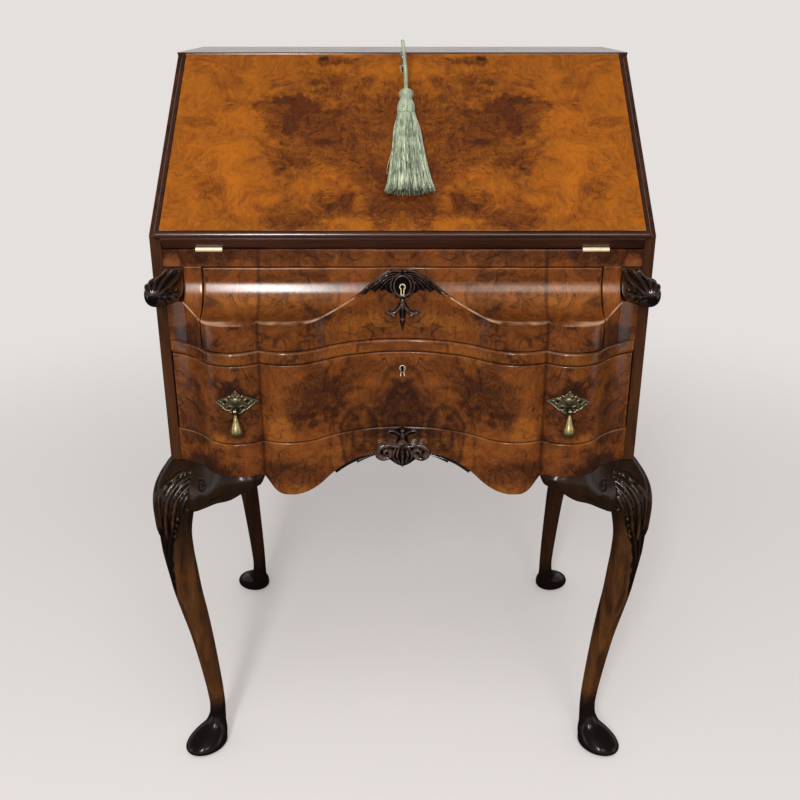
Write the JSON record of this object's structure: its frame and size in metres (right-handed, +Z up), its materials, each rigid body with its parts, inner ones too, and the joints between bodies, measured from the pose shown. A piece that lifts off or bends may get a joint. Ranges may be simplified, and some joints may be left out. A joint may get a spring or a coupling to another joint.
{
  "type": "writing bureau",
  "caption": "Slant-front writing bureau on cabriole legs: hinged fall with lock, key and tassel, pull-out lopers, serpentine drawers with drop handles, and fitted pigeonholes.",
  "frame": {"origin": "on the floor, under the middle of the piece without its tassel", "axes": "+X to the right as seen from the front, +Y from the front to the back, +Z up"},
  "size_m": [0.6768, 0.534, 1.0057],
  "materials": {
    "burr_walnut": "french polished",
    "walnut": "polished",
    "dark_walnut": "polished",
    "ebonised_carving": "polished",
    "drawer_lining": "waxed",
    "leather": "matt",
    "brass": "aged",
    "steel": "worn",
    "silk": "woven"
  },
  "bodies": {
    "case": {"apron": "burr_walnut", "apron_leaves": "ebonised_carving", "apron_shell": "ebonised_carving", "back_leg_left": "dark_walnut", "back_leg_right": "dark_walnut", "back_panel": "drawer_lining", "bottom_board": "drawer_lining", "corner_blocks": "drawer_lining", "drawer_guides": "drawer_lining", "drawer_stops": "drawer_lining", "dust_board": "drawer_lining", "frieze_strip_left": "burr_walnut", "frieze_strip_right": "burr_walnut", "front_brackets": "dark_walnut", "front_leg_left": "dark_walnut", "front_leg_right": "dark_walnut", "hinge_case_leaves": "brass", "hinge_rail": "walnut", "lock_strike": "brass", "loper_partitions": "drawer_lining", "loper_pegs": "drawer_lining", "loper_runners": "drawer_lining", "mid_rail": "walnut", "pigeonhole_dividers": "walnut", "pigeonhole_shelves": "walnut", "side_brackets": "dark_walnut", "side_panel_left": "walnut", "side_panel_right": "walnut", "top_board": "walnut", "writing_bed": "walnut"},
    "fall": {"fall_board": "burr_walnut", "writing_leather": "leather", "hinge_fall_leaves": "brass", "hinge_pins": "brass", "fall_lock_case": "steel", "fall_escutcheon": "brass"},
    "bolt": {"fall_bolt": "steel"},
    "key": {"key": "steel"},
    "tassel": {"tassel_cord": "silk", "tassel_head": "silk", "tassel_skirt": "silk"},
    "upper_drawer": {"upper_drawer_front": "burr_walnut", "upper_drawer_sides": "drawer_lining", "upper_drawer_back": "drawer_lining", "upper_drawer_bottom": "drawer_lining", "upper_drawer_lock": "steel", "frieze_carving": "ebonised_carving"},
    "lower_drawer": {"lower_drawer_front": "burr_walnut", "lower_drawer_sides": "drawer_lining", "lower_drawer_back": "drawer_lining", "lower_drawer_bottom": "drawer_lining", "lower_drawer_lock": "steel", "lower_escutcheon": "brass", "handle_plates": "brass"},
    "drop_left": {"drop_left": "brass"},
    "drop_right": {"drop_right": "brass"},
    "loper_left": {"loper_left": "walnut"},
    "loper_right": {"loper_right": "walnut"},
    "small_drawer_left": {"small_drawer_left": "walnut"},
    "small_drawer_right": {"small_drawer_right": "walnut"}
  },
  "joints": [
    {"name": "fall_hinge", "type": "hinge", "parent": "case", "child": "fall", "pos_m": [0, -0.19256, 0.7675], "axis": [1, 0, 0], "range_deg": [0, 141.6]},
    {"name": "key_turn", "type": "hinge", "parent": "fall", "child": "key", "pos_m": [0, 0.04021, 0.95199], "axis": [0, -0.6211, 0.7837], "range_deg": [0, 90]},
    {"name": "bolt_slide", "type": "slide", "parent": "fall", "child": "bolt", "axis": [0, 0.7837, 0.6211], "range_m": [0, 0.006]},
    {"name": "tassel_swing", "type": "hinge", "parent": "fall", "child": "tassel", "pos_m": [0, -0.00097, 1.00395], "axis": [1, 0, 0], "range_deg": [-90, 0]},
    {"name": "upper_drawer_slide", "type": "slide", "parent": "case", "child": "upper_drawer", "axis": [0, -1, 0], "range_m": [0, 0.24]},
    {"name": "lower_drawer_slide", "type": "slide", "parent": "case", "child": "lower_drawer", "axis": [0, -1, 0], "range_m": [0, 0.24]},
    {"name": "drop_left_swing", "type": "hinge", "parent": "lower_drawer", "child": "drop_left", "pos_m": [-0.2095, -0.25966, 0.577], "axis": [1, 0, 0], "range_deg": [-80, 0]},
    {"name": "drop_right_swing", "type": "hinge", "parent": "lower_drawer", "child": "drop_right", "pos_m": [0.2095, -0.25966, 0.577], "axis": [1, 0, 0], "range_deg": [-80, 0]},
    {"name": "loper_left_slide", "type": "slide", "parent": "case", "child": "loper_left", "axis": [0, -1, 0], "range_m": [0, 0.23]},
    {"name": "loper_right_slide", "type": "slide", "parent": "case", "child": "loper_right", "axis": [0, -1, 0], "range_m": [0, 0.23]},
    {"name": "small_left_slide", "type": "slide", "parent": "case", "child": "small_drawer_left", "axis": [0, -1, 0], "range_m": [0, 0.12]},
    {"name": "small_right_slide", "type": "slide", "parent": "case", "child": "small_drawer_right", "axis": [0, -1, 0], "range_m": [0, 0.12]}
  ],
  "couplings": [
    {"joint": "bolt_slide", "follows": "key_turn", "m_per_rad": 0.003819},
    {"joint": "tassel_swing", "follows": "fall_hinge", "ratio": -0.63558}
  ]
}
